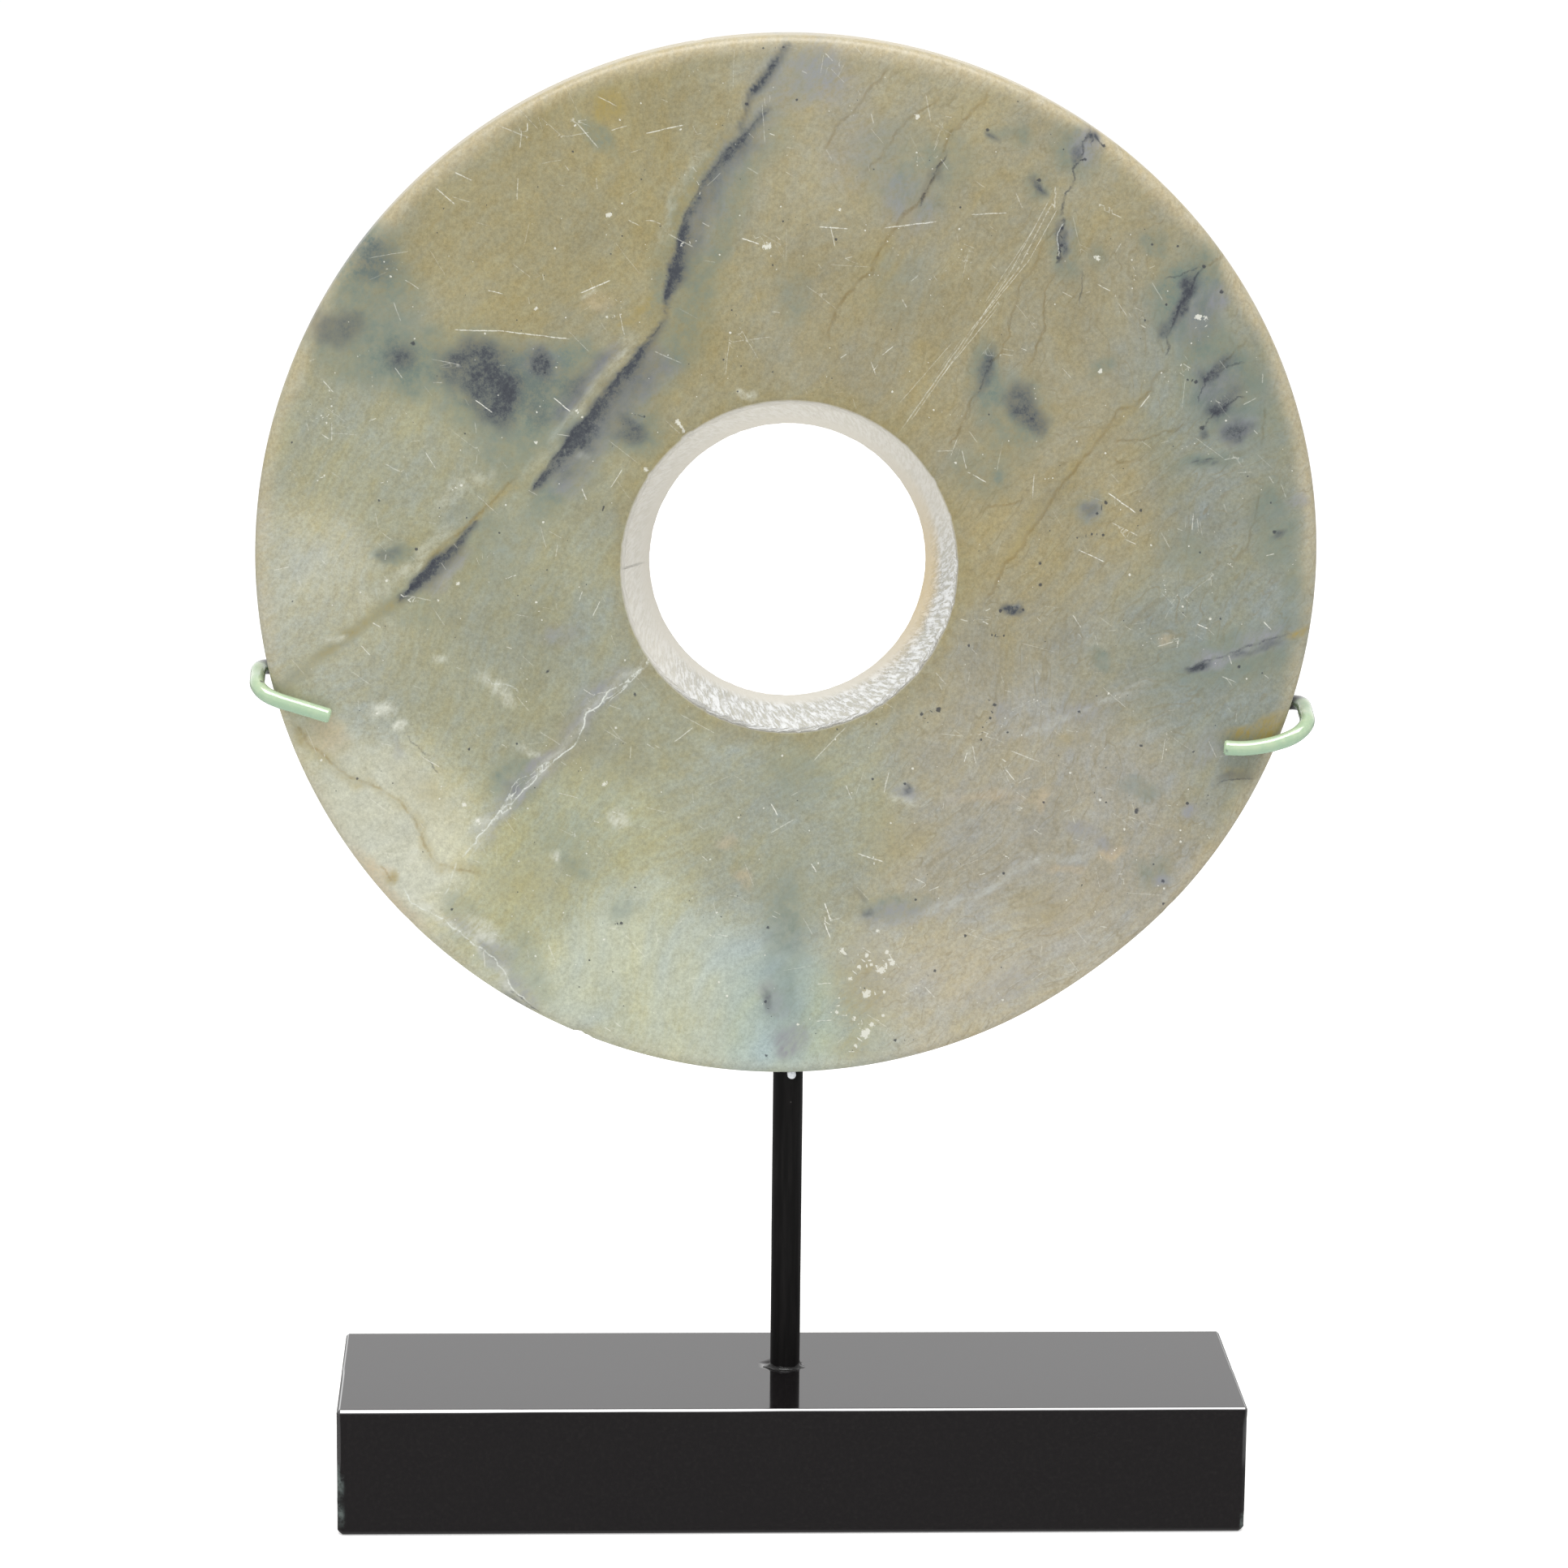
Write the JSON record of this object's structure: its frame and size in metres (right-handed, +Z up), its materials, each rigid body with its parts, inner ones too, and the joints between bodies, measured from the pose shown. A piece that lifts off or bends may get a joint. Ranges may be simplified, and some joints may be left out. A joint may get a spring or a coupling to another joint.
{
  "type": "jade bi disc on a display stand",
  "caption": "Flat carved jade disc with a round central hole, held upright by two wire prongs on a slim post set in a polished black stone block.",
  "frame": {"origin": "centre of the base block's underside, where it stands on a surface", "axes": "+Z up, +X to the viewer's right along the stand's front, +Y away from the viewer towards the stand's back"},
  "size_m": [0.2192, 0.051, 0.3106],
  "materials": {
    "jade": "polished, veined, softly worn",
    "black_stone": "mirror polished",
    "black_paint": "satin",
    "green_paint": "gloss, hand painted",
    "clear_sleeve": "milky clear sleeve"
  },
  "bodies": {
    "root": {"base_block": "black_stone", "post": "black_paint", "jade_disc": "jade", "left_prong": "green_paint", "right_prong": "green_paint", "rest_pin": "clear_sleeve"}
  },
  "joints": []
}
